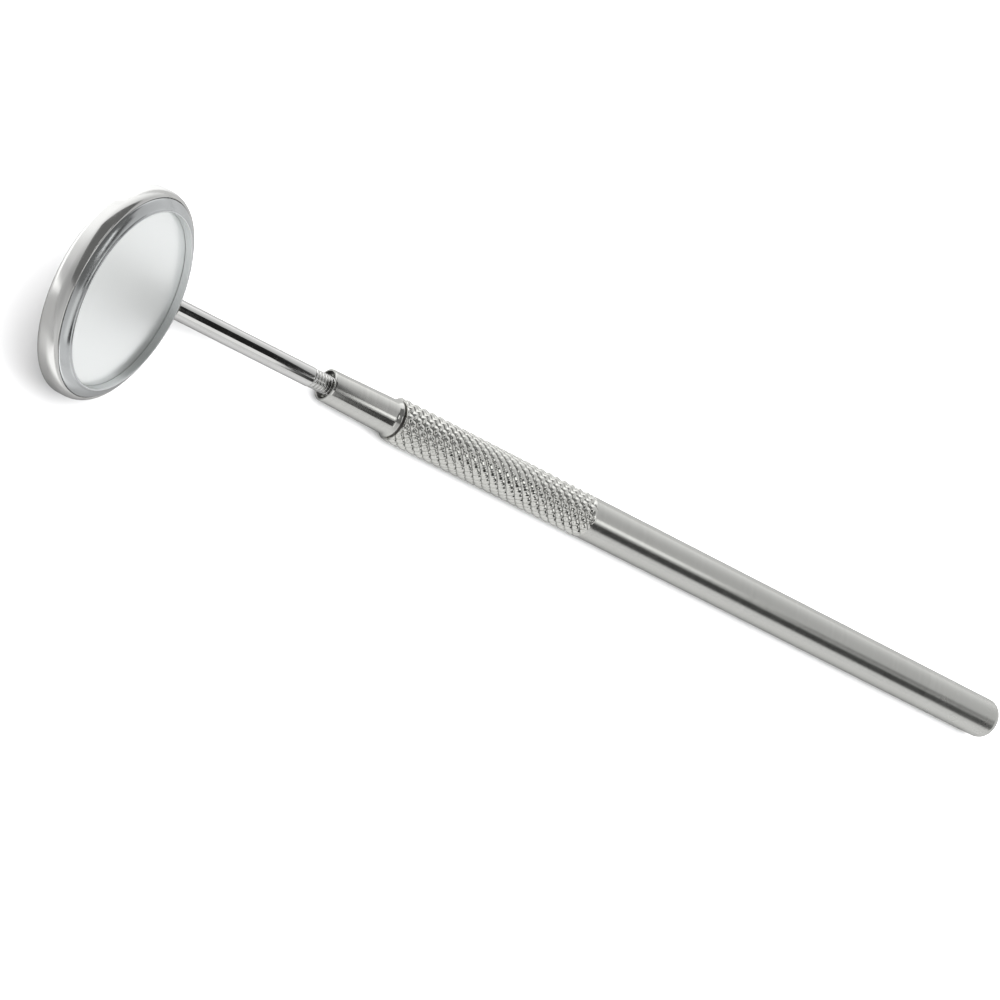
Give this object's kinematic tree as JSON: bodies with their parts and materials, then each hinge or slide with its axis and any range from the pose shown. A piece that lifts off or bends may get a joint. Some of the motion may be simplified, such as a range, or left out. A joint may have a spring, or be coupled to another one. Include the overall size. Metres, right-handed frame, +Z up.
{
  "type": "dental mouth mirror",
  "caption": "Dental mouth mirror: round plane mirror in a crimped steel head on a thin stem that screws into a straight tubular handle with a diamond-knurled grip.",
  "frame": {"origin": "centre of the footprint, on the table that the instrument lies on", "axes": "+X along the handle towards its rear end, +Z up from the table, the mirror facing up, back towards the handle and to -Y"},
  "size_m": [0.1696, 0.0254, 0.019],
  "materials": {
    "mirror_glass": "clear plane glass over silver",
    "silver": "deposited silver",
    "backing_paint": "dark protective paint",
    "cement": "cured cement",
    "bezel_steel": "polished stainless steel",
    "cup_steel": "polished stainless steel",
    "weld_steel": "dressed weld",
    "stem_steel": "polished stainless steel",
    "handle_steel": "satin, turned",
    "braze": "dull filler metal"
  },
  "bodies": {
    "handle": {"handle_neck": "handle_steel", "front_braze_ring": "braze", "handle_tube": "handle_steel", "rear_braze_ring": "braze", "rear_plug": "handle_steel"},
    "stem": {"stem": "stem_steel"},
    "head": {"mirror_glass": "mirror_glass", "silver_coating": "silver", "coating_paint": "backing_paint", "cement_bed": "cement", "bezel_ring": "bezel_steel", "rim_cement": "cement", "head_cup": "cup_steel", "weld_pad": "weld_steel"}
  },
  "joints": [
    {"name": "thread_travel", "type": "slide", "parent": "handle", "child": "stem", "axis": [-1, 0, 0], "range_m": [0, 0.0036]},
    {"name": "thread_turn", "type": "hinge", "parent": "stem", "child": "head", "pos_m": [-0.03853, 0.00428, 0.00295], "axis": [-1, 0, 0], "range_deg": [0, 2880]}
  ],
  "couplings": [
    {"joint": "thread_travel", "follows": "thread_turn", "m_per_rad": 0.00007162}
  ]
}
